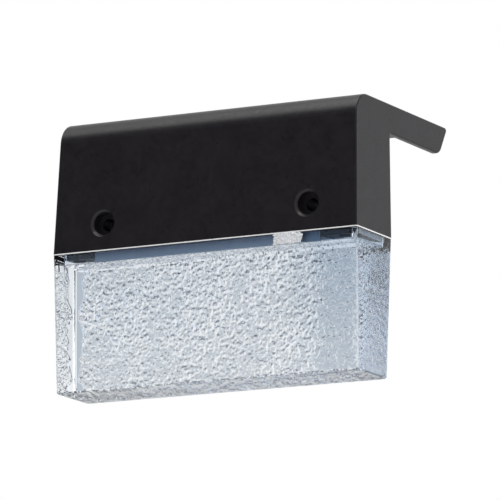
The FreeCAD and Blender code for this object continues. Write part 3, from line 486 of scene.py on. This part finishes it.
def plated_steel(name, dark, pale, low, high):
    """Zinc or nickel on steel, with fine handling marks."""
    material, tree, shader = new_finish(name)
    marks = grain(tree, 0.5 * mm, 5.0, 0.7)
    tree.links.new(tint(tree, marks, dark, pale), shader.inputs["Base Color"])
    tree.links.new(span(tree, marks, 0, 1, high, low), shader.inputs["Roughness"])
    tree.links.new(relief(tree, grain(tree, 0.12 * mm, 3.0), 0.004 * mm), shader.inputs["Normal"])
    shader.inputs["Metallic"].default_value = 1.0
    return material


screw_zinc = plated_steel("screw_zinc", (0.42, 0.43, 0.45), (0.62, 0.63, 0.65), 0.25, 0.42)
for screws in ("lens_frame_screws", "led_board_screws"):
    paint(cad[screws], screw_zinc)


# ---- Lens ----
# A clear solid acrylic block with a shallow pocket in its top, where its tongue stands inside the
# housing. Its front and ends are polished and its back is hammered, with seed bubbles just inside.
# Its skin is one row of rings: up the outside, over the tongue, and down into the pocket.

seam_low, seam_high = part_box("lens_gasket")
block_low, block_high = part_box("lens")
lens_top = seam_low.z
lens_foot = block_low.z
tongue_top = block_high.z
pocket_floor = -12.8 * mm
pocket_fillet = 0.45 * mm
front_setback = 2.9 * mm         # of the foot, from the seam's edge
back_setback = 0.6 * mm
end_draft = 0.6 * mm
wall = 3.0 * mm
tongue_inset = 2.05 * mm
outer_corner = 0.8 * mm
inner_corner = 1.6 * mm
foot_bevel = 0.5 * mm
corner_steps = 5
hammer_grid = 0.30 * mm
side_columns = (8, round((seam_high.x - seam_low.x) / hammer_grid), 8, 40)   # right, back, left, front


def share_down(z):
    """How far down the block a level lies, from 0 at the seam to 1 at the foot."""
    return max(0.0, (lens_top - z) / (lens_top - lens_foot))


def ring_at(inset, z, corner):
    """One ring of the block's skin: a level rounded oblong, inset from the outside."""
    share = share_down(z)
    x1 = seam_high.x - end_draft * share - inset - corner
    y0 = seam_low.y + front_setback * share + inset + corner
    y1 = seam_high.y - back_setback * share - inset - corner
    middles = [(x1, y0), (x1, y1), (-x1, y1), (-x1, y0)]
    ring = []
    for turn, (middle, ahead, count) in enumerate(zip(middles, middles[1:] + middles[:1], side_columns)):
        for k in range(corner_steps + 1):
            angle = math.radians(90 * (turn - 1) + 90 * k / corner_steps)
            edge_x, edge_y = middle[0] + corner * math.cos(angle), middle[1] + corner * math.sin(angle)
            ring.append((edge_x, edge_y, z))
        step_x, step_y = ahead[0] - middle[0], ahead[1] - middle[1]
        ring += [(edge_x + step_x * k / count, edge_y + step_y * k / count, z) for k in range(1, count)]
    return ring


# The hammering covers the back but for a smooth border, and is worn towards its right end.
border_width = 2.9 * mm          # at the ends
border_slope = 0.07              # how much it leans in there
border_at_foot = 1.2 * mm
border_at_top = 0.8 * mm
border_ramp = 0.45 * mm          # over which the hammering sets in
edge_wander = 0.5 * mm
edge_patch = 2.2 * mm
end_edge_wander = 2.2 * mm
end_edge_patch = 4.5 * mm
back_zone = 0.6 * mm
worn_from = 31 * mm
worn_length = 8 * mm
most_worn = 0.72


def hammering_at(x, y, z):
    """How strongly the hammer worked a point."""
    wander = edge_wander * noise.noise(Vector((x, y, z)) / edge_patch)
    end_wander = end_edge_wander * noise.noise(Vector((x, y, z)) / end_edge_patch)
    from_end = seam_high.x - abs(x) - border_width + end_wander
    inside = min(from_end, z - lens_foot - border_at_foot, lens_top - border_at_top - z) + wander
    on_back = y > seam_high.y - back_setback * share_down(z) - back_zone
    worn = 1 - most_worn * min(1, max(0, (x - worn_from) / worn_length))
    return on_back * min(1, max(0, inside / border_ramp)) * worn


def sloped(x, y, z):
    """A point of the skin, with the smooth border of the back sloping in towards the ends."""
    back = seam_high.y - back_setback * share_down(z)
    nearness_to_back = min(1, max(0, (y - back + outer_corner) / outer_corner))
    return x, y - border_slope * nearness_to_back * max(0, border_width - (seam_high.x - abs(x))), z


def wrap(rows, around, closed=False):
    """The faces between rings of equal count, and between the last and the first where closed."""
    return [
        (
            row * around + k,
            row * around + (k + 1) % around,
            (row + 1) % rows * around + (k + 1) % around,
            (row + 1) % rows * around + k,
        )
        for row in range(rows if closed else rows - 1)
        for k in range(around)
    ]


def built(name, points, faces, material):
    """A new object from points and faces, with one material."""
    mesh = bpy.data.meshes.new(name)
    mesh.from_pydata(points, [], faces)
    mesh.materials.append(material)
    piece = bpy.data.objects.new(name, mesh)
    scene.collection.objects.link(piece)
    return piece


rows = round((lens_top - lens_foot - foot_bevel) / hammer_grid)
levels = [lens_foot + foot_bevel + (lens_top - lens_foot - foot_bevel) * k / rows for k in range(rows + 1)]
rings = [ring_at(foot_bevel, lens_foot, outer_corner)] + [ring_at(0, z, outer_corner) for z in levels]
rings += [ring_at(tongue_inset, lens_top, outer_corner), ring_at(tongue_inset, tongue_top, outer_corner)]
rings += [ring_at(wall, tongue_top, inner_corner)]
for angle in (0, 30, 60, 90):
    in_from_wall = pocket_fillet * (1 - math.cos(math.radians(angle)))
    off_floor = pocket_fillet * (1 - math.sin(math.radians(angle)))
    rings.append(ring_at(wall + in_from_wall, pocket_floor + off_floor, inner_corner))
around = len(rings[0])
skin_faces = wrap(len(rings), around)
skin_faces.append(tuple(reversed(range(around))))
skin_faces.append(tuple(range((len(rings) - 1) * around, len(rings) * around)))
skin_points = [sloped(*point) for ring in rings for point in ring]
block = bpy.data.meshes.new("clear_block")
block.from_pydata(skin_points, [], skin_faces)
hammering = block.attributes.new("hammering", "FLOAT", "POINT")
hammering.data.foreach_set("value", [hammering_at(*point) for point in skin_points])

# The plastic's colour carries painted shade, darkest at the top and over the worn end, and cells of
# painted blue-grey shade along its foot. Its foot is rippled, and its hammered back has soft blotches
# and fine pits.
painted_shade_grows_from = 30 * mm
painted_shade_full_from = 36 * mm
lens_clear, tree, shader = new_finish("lens_clear")
shader.inputs["Transmission Weight"].default_value = 1.0
shader.inputs["IOR"].default_value = 1.49
tree.links.new(span(tree, grain(tree, 6 * mm, 3.0), 0, 1, 0.0, 0.015), shader.inputs["Roughness"])
spot = add(tree, "ShaderNodeSeparateXYZ", {"Vector": place_in(tree)}).outputs
# Painted shade: the clear plastic is darkened towards its top, most over its right end.
high_up = span(tree, spot["Z"], lens_foot, lens_top, 0.2, 1)
far_right = span(tree, spot["X"], painted_shade_grows_from, painted_shade_full_from, 0.42, 1.1)
painted_shade_share = math_of(tree, "MULTIPLY", high_up, far_right, clamp=True)
body_painted_shade = tint(tree, painted_shade_share, (1, 1, 1), (0.62, 0.69, 0.77))

foot_skin = 0.05 * mm
foot_only = math_of(tree, "LESS_THAN", spot["Z"], lens_foot + foot_skin)
foot_cell = 1.7 * mm
slant = {"Vector": place_in(tree), "Angle": math.radians(-30)}
turned = add(tree, "ShaderNodeVectorRotate", slant, rotation_type="Z_AXIS").outputs[0]
drawn_out = add(tree, "ShaderNodeVectorMath", {0: turned, 1: (1, 0.2, 1)}, operation="MULTIPLY").outputs[0]
cell_feeds = {"Vector": drawn_out, "Scale": 1 / foot_cell, "Detail": 1.0}
foot_cells = add(tree, "ShaderNodeTexNoise", cell_feeds).outputs[0]
# Painted light and shade: cells of blue-grey and white painted along the clear foot.
foot_painted_shade = tint(tree, span(tree, foot_cells, 0.40, 0.58, 0, 1), (0.46, 0.55, 0.68), (0.97, 0.99, 1.0))
tree.links.new(tint(tree, foot_only, body_painted_shade, foot_painted_shade), shader.inputs["Base Color"])
ripples = math_of(tree, "MULTIPLY", span(tree, foot_cells, 0.3, 0.7, 0, 1), foot_only)

worked = add(tree, "ShaderNodeAttribute", attribute_name="hammering").outputs["Fac"]
on_worked = math_of(tree, "GREATER_THAN", worked, 0.02)
blotches = math_of(tree, "MULTIPLY", grain(tree, 2.4 * mm, 3.0), on_worked)
pits = math_of(tree, "MULTIPLY", grain(tree, 0.8 * mm, 2.0), worked)
blotched = relief(tree, blotches, 0.16 * mm, relief(tree, ripples, 0.9 * mm))
tree.links.new(relief(tree, pits, 0.06 * mm, blotched), shader.inputs["Normal"])

hammer_sizes = {
    "Dimple size": 1.2 * mm,
    "Dimple depth": 0.6 * mm,
    "Streak depth": 0.5 * mm,
    "Patch size": 20 * mm,
    "Bubble radius": 0.3 * mm,
    "Bubbles a square metre": 60000.0,
    "Deepest bubble": 6 * mm,
    "Seed": 4,
}
hammer, hammer_in = new_flow("hammered_block", hammer_sizes)


def times(first, second):
    """One number times another."""
    return math_of(hammer, "MULTIPLY", first, second)


def chance(low, high):
    """A random number for each bubble."""
    feeds = {2: low, 3: high, "Seed": hammer_in["Seed"]}
    return add(hammer, "FunctionNodeRandomValue", feeds, data_type="FLOAT").outputs[1]


# The hammer's dimples, with slanting streaks over them, push the skin in along its normal.
spot = flow(hammer, "GeometryNodeInputPosition")
outward = flow(hammer, "GeometryNodeInputNormal")
share = flow(hammer, "GeometryNodeInputNamedAttribute", {"Name": "hammering"}, data_type="FLOAT")
pitch = math_of(hammer, "DIVIDE", 1.0, hammer_in["Dimple size"])
dimple_feeds = {"Vector": spot, "Scale": pitch, "Smoothness": 0.5}
dimples = flow(hammer, "ShaderNodeTexVoronoi", dimple_feeds, feature="SMOOTH_F1")
slant = {"Vector": spot, "Angle": math.radians(35)}
leaning = flow(hammer, "ShaderNodeVectorRotate", slant, rotation_type="Y_AXIS")
drawn = flow(hammer, "ShaderNodeVectorMath", {0: leaning, 1: (1.0, 1.0, 0.35)}, operation="MULTIPLY")
streaks = flow(hammer, "ShaderNodeTexNoise", {"Vector": drawn, "Scale": pitch, "Detail": 2.0})
patch_pitch = math_of(hammer, "DIVIDE", 1.0, hammer_in["Patch size"])
patches = flow(hammer, "ShaderNodeTexNoise", {"Vector": spot, "Scale": patch_pitch, "Detail": 1.0})
strength = span(hammer, patches, 0.38, 0.62, 0.75, 1.15)
dimple_depth = times(math_of(hammer, "SUBTRACT", dimples, 0.9), hammer_in["Dimple depth"])
streak_depth = times(math_of(hammer, "SUBTRACT", streaks, 0.9), hammer_in["Streak depth"])
level = add(hammer, "ShaderNodeSeparateXYZ", {"Vector": spot}).outputs["Z"]
harder = times(strength, span(hammer, level, lens_foot, lens_top, 0.85, 1.15))
depth = times(math_of(hammer, "ADD", dimple_depth, streak_depth), harder)
inward_push = {0: outward, "Scale": times(depth, share)}
push = flow(hammer, "ShaderNodeVectorMath", inward_push, operation="SCALE")
beaten = flow(hammer, "GeometryNodeSetPosition", {"Geometry": hammer_in["Geometry"], "Offset": push})

# The bubbles are round holes in the plastic, most of them close to the hammered back.
seeds = {
    "Mesh": hammer_in["Geometry"],
    "Selection": math_of(hammer, "GREATER_THAN", share, 0.05),
    "Density": hammer_in["Bubbles a square metre"],
    "Seed": hammer_in["Seed"],
}
seed_points = flow(hammer, "GeometryNodeDistributePointsOnFaces", seeds)
least_sunk = 0.9 * mm
how_deep = chance(0.15, 1.0)
inward = times(times(how_deep, how_deep), hammer_in["Deepest bubble"])
sunk = flow(hammer, "ShaderNodeCombineXYZ", {"Y": math_of(hammer, "SUBTRACT", -least_sunk, inward)})
sunk_points = flow(hammer, "GeometryNodeSetPosition", {"Geometry": seed_points, "Offset": sunk})
bubble = flow(hammer, "GeometryNodeMeshIcoSphere", {"Radius": hammer_in["Bubble radius"], "Subdivisions": 2})
hollow = flow(hammer, "GeometryNodeFlipFaces", {"Mesh": bubble})
placed = {"Points": sunk_points, "Instance": hollow, "Scale": chance(0.35, 1.0)}
bubbles = flow(hammer, "GeometryNodeInstanceOnPoints", placed)
all_clear = add(hammer, "GeometryNodeJoinGeometry")
hammer.links.new(beaten, all_clear.inputs[0])
hammer.links.new(bubbles, all_clear.inputs[0])
close_flow(hammer, all_clear.outputs[0], lens_clear)
clear_lens = grown("clear_lens", block, hammer, hammer_sizes)
clear_lens.data.shade_smooth()
sharpest_smooth_edge = math.radians(42)
clear_lens.data.set_sharp_from_angle(angle=sharpest_smooth_edge)
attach(clear_lens, "light")
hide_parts("lens")


# ---- Seam seal and adhesive ----
# A thin gasket of pale silicone lies along the seam between housing and lens. A skin of the same
# silicone runs round the lens's tongue and over its top, where it is bonded into the housing.

seal_pale = plain_finish(
    "seal_pale", (0.78, 0.78, 0.79), (0.92, 0.92, 0.93), (1 * mm, 3.0), (0.25 * mm, 0.01 * mm), 0.5
)
paint(cad["lens_gasket"], seal_pale)

bond_thickness = 0.1 * mm
bond_gap = 0.02 * mm
bond_foot = lens_top + 0.1 * mm
bond_top = tongue_top + bond_thickness
bond_rings = [
    ring_at(tongue_inset - bond_gap, bond_foot, outer_corner),
    ring_at(tongue_inset - bond_thickness, bond_foot, outer_corner),
    ring_at(tongue_inset - bond_thickness, bond_top, outer_corner),
    ring_at(wall, bond_top, inner_corner),
    ring_at(wall, tongue_top + bond_gap, inner_corner),
    ring_at(tongue_inset - bond_gap, tongue_top + bond_gap, outer_corner),
]
bond_points = [point for ring in bond_rings for point in ring]
lens_bond = built("lens_bond", bond_points, wrap(len(bond_rings), around, closed=True), seal_pale)
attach(lens_bond, "light")


# ---- Frame pads ----
# A thin pad of pale foam, stuck on each end of the lens frame, keeps the frame central in the lens's
# pocket and off its walls.

frame_low, frame_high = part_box("lens_frame")
pad_gap = 0.02 * mm
pad_thickness = 0.15 * mm
pad_inset = 0.4 * mm
pad_above_seam = 0.3 * mm
box_faces = ((0, 1, 3, 2), (4, 6, 7, 5), (0, 4, 5, 1), (2, 3, 7, 6), (0, 2, 6, 4), (1, 5, 7, 3))
pad_points = []
pad_faces = []
for side in (-1, 1):
    first = len(pad_points)
    near = side * (frame_high.x + pad_gap)
    far = side * (frame_high.x + pad_gap + pad_thickness)
    low_x, high_x = min(near, far), max(near, far)
    pad_points += [
        (x, y, z)
        for x in (low_x, high_x)
        for y in (frame_low.y + pad_inset, frame_high.y - pad_inset)
        for z in (frame_low.z + pad_gap, lens_top + pad_above_seam)
    ]
    pad_faces += [tuple(first + corner for corner in corners) for corners in box_faces]
frame_pads = built("frame_pads", pad_points, pad_faces, seal_pale)
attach(frame_pads, "light")


# ---- Gate ----
# Where the block was cut from its runner a low lump of the same clear plastic stays on the front's
# top edge. The cut tore its face and whitened it. An even grid of points, moved by noise, makes it.

gate_middle = 31.7 * mm
gate_half = 5.5 * mm
gate_height = 3.6 * mm
gate_stand = 0.46 * mm
gate_root = 0.06 * mm
gate_columns = 44
gate_rows = 14
gate_fill = 0.96                 # the share of the lump's size that its even grid takes
gate_under_seam = 0.1 * mm
rim_wander = 0.9 * mm
least_stand = 0.12               # both as shares of the full stand
mean_stand = 0.55
small_chip = 0.8 * mm
large_chip = 2.2 * mm


def gate_point(column, row, torn):
    """A point of the lump's front, or of its root inside the block where it isn't torn."""
    ragged = rim_wander * noise.noise(Vector((column, row, 3)) * 0.25)
    x = gate_middle + gate_half * (2 * column / gate_columns - 1) * gate_fill + ragged
    z = lens_top - gate_height * (1 - row / gate_rows) * gate_fill - gate_under_seam + 0.4 * ragged
    face = seam_low.y + front_setback * (lens_top - z) / (lens_top - lens_foot)
    small_chips = 1.3 * noise.noise(Vector((x, 0, z)) / small_chip)
    large_chips = 0.5 * noise.noise(Vector((x, 5 * mm, z)) / large_chip)
    stand = gate_stand * min(1, max(least_stand, mean_stand + small_chips + large_chips))
    return x, face - stand if torn else face + gate_root, z


wide = gate_columns + 1
gate_points = [gate_point(i, j, True) for j in range(gate_rows + 1) for i in range(wide)]
gate_faces = [
    (j * wide + i, j * wide + i + 1, (j + 1) * wide + i + 1, (j + 1) * wide + i)
    for j in range(gate_rows)
    for i in range(gate_columns)
]
rim = [(i, 0) for i in range(gate_columns)] + [(gate_columns, j) for j in range(gate_rows)]
rim += [(i, gate_rows) for i in range(gate_columns, 0, -1)] + [(0, j) for j in range(gate_rows, 0, -1)]
root_start = len(gate_points)
gate_points += [gate_point(i, j, False) for i, j in rim]
for k, (i, j) in enumerate(rim):
    next_k = (k + 1) % len(rim)
    next_i, next_j = rim[next_k]
    gate_faces.append((next_j * wide + next_i, j * wide + i, root_start + k, root_start + next_k))
gate_faces.append(tuple(reversed(range(root_start, root_start + len(rim)))))
gate_torn, tree, shader = new_finish("gate_torn")
shader.inputs["Base Color"].default_value = (0.95, 0.97, 1.0, 1)
shader.inputs["Transmission Weight"].default_value = 0.15
shader.inputs["IOR"].default_value = 1.49
tree.links.new(span(tree, grain(tree, 0.9 * mm, 3.0), 0, 1, 0.05, 0.2), shader.inputs["Roughness"])
tree.links.new(relief(tree, grain(tree, 0.9 * mm, 3.0), 0.3 * mm), shader.inputs["Normal"])
gate_lump = built("gate_lump", gate_points, gate_faces, gate_torn)
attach(gate_lump, "light")


# ---- Rear cover ----
# A flat plate of the same black ABS, let in between the cheeks on a foam loop and held by four
# screws. The button stands in a hole near its upper right corner.

cover_black = moulded_black("cover_black", (0.011, 0.0115, 0.0125), (0.016, 0.0165, 0.0175), 0.42)
paint(cad["rear_cover"], cover_black)
paint(cad["rear_cover_screws"], screw_zinc)

foam_black, tree, shader = new_finish("foam_black")
cells = add(tree, "ShaderNodeTexVoronoi", {"Vector": place_in(tree), "Scale": 1 / (0.35 * mm)}, feature="F1")
tree.links.new(
    tint(tree, cells.outputs["Distance"], (0.008, 0.008, 0.009), (0.03, 0.03, 0.032)),
    shader.inputs["Base Color"],
)
tree.links.new(relief(tree, cells.outputs["Distance"], 0.1 * mm), shader.inputs["Normal"])
shader.inputs["Roughness"].default_value = 0.9
paint(cad["cover_gasket"], foam_black)


# ---- Battery ----
# One AA rechargeable cell in a printed plastic sleeve, lying in a black cradle between the screw
# tubes. A nickel-plated leaf presses on each end.

sleeve_green, tree, shader = new_finish("sleeve_green")
spot = add(tree, "ShaderNodeSeparateXYZ", {"Vector": place_in(tree)})
white_band = 14 * mm             # of the sleeve, at its right end
cell_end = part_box("battery")[1].x
band = math_of(tree, "GREATER_THAN", spot.outputs["X"], cell_end - white_band)
sleeve = tint(tree, grain(tree, 4 * mm), (0.03, 0.22, 0.10), (0.04, 0.26, 0.12))
tree.links.new(tint(tree, band, sleeve, (0.70, 0.71, 0.72)), shader.inputs["Base Color"])
tree.links.new(relief(tree, grain(tree, 3 * mm), 0.03 * mm), shader.inputs["Normal"])
shader.inputs["Roughness"].default_value = 0.25
paint(cad["battery"], sleeve_green)
paint(cad["battery_cradle"], cover_black)
leaf_nickel = plated_steel("leaf_nickel", (0.60, 0.57, 0.52), (0.76, 0.73, 0.68), 0.2, 0.35)
paint(cad["battery_plus_contact"], leaf_nickel)
paint(cad["battery_minus_spring"], leaf_nickel)
paint(cad["cradle_screws"], screw_zinc)


# ---- Control board ----
# A small fibreglass board with a green solder mask over its copper, screwed to two posts. It carries
# the charge coil, a storage capacitor, the controller chip and the switch.

mask_green, tree, shader = new_finish("mask_green")
track_feeds = {"Vector": place_in(tree), "Scale": 1 / (2.2 * mm), "Mortar Size": 0.12}
tracks = add(tree, "ShaderNodeTexBrick", track_feeds)
tree.links.new(
    tint(tree, tracks.outputs["Fac"], (0.012, 0.11, 0.05), (0.02, 0.17, 0.075)),
    shader.inputs["Base Color"],
)
tree.links.new(relief(tree, tracks.outputs["Fac"], 0.03 * mm), shader.inputs["Normal"])
shader.inputs["Roughness"].default_value = 0.3
paint(cad["control_board"], mask_green)
paint(cad["board_screws"], screw_zinc)

ferrite_grey = plain_finish(
    "ferrite_grey", (0.03, 0.03, 0.032), (0.07, 0.07, 0.072), (0.5 * mm, 4.0), (0.2 * mm, 0.02 * mm), 0.6
)
paint(cad["charge_choke"], ferrite_grey)

can_sleeve = plain_finish(
    "can_sleeve", (0.012, 0.014, 0.03), (0.02, 0.023, 0.05), (2 * mm,), (1 * mm, 0.02 * mm), 0.3
)
paint(cad["storage_capacitor"], can_sleeve)

chip_black = plain_finish(
    "chip_black", (0.012, 0.012, 0.013), (0.028, 0.028, 0.03), (0.15 * mm,), (0.1 * mm, 0.01 * mm), 0.65
)
paint(cad["controller_chip"], chip_black)


# ---- Switch ----
# A square push switch on the board, its stem, and over it a soft round button that is reached
# through the rear cover. Stem and button move together.

case_black = plain_finish(
    "case_black", (0.016, 0.016, 0.017), (0.026, 0.026, 0.027), (1 * mm,), (0.2 * mm, 0.01 * mm), 0.4
)
paint(cad["switch_body"], case_black)

stem_white = plain_finish(
    "stem_white", (0.68, 0.67, 0.63), (0.78, 0.77, 0.73), (1 * mm,), (0.2 * mm, 0.01 * mm), 0.35
)
paint(cad["switch_plunger"], stem_white)

rubber_grey = plain_finish(
    "rubber_grey", (0.035, 0.036, 0.038), (0.06, 0.061, 0.064), (0.8 * mm, 4.0), (0.15 * mm, 0.015 * mm), 0.7
)
paint(cad["switch_button"], rubber_grey)


# ---- Wires ----
# Thin stranded leads in soft vinyl, red and black, from the sun panel, the cell and the LED strip to
# the control board.

for node, dark, light in (
    ("red_wires", (0.42, 0.012, 0.010), (0.55, 0.022, 0.018)),
    ("black_wires", (0.010, 0.010, 0.011), (0.018, 0.018, 0.019)),
):
    vinyl = plain_finish(node + "_vinyl", dark, light, (1.2 * mm, 3.0), (0.5 * mm, 0.01 * mm), 0.4)
    paint(cad[node], vinyl)
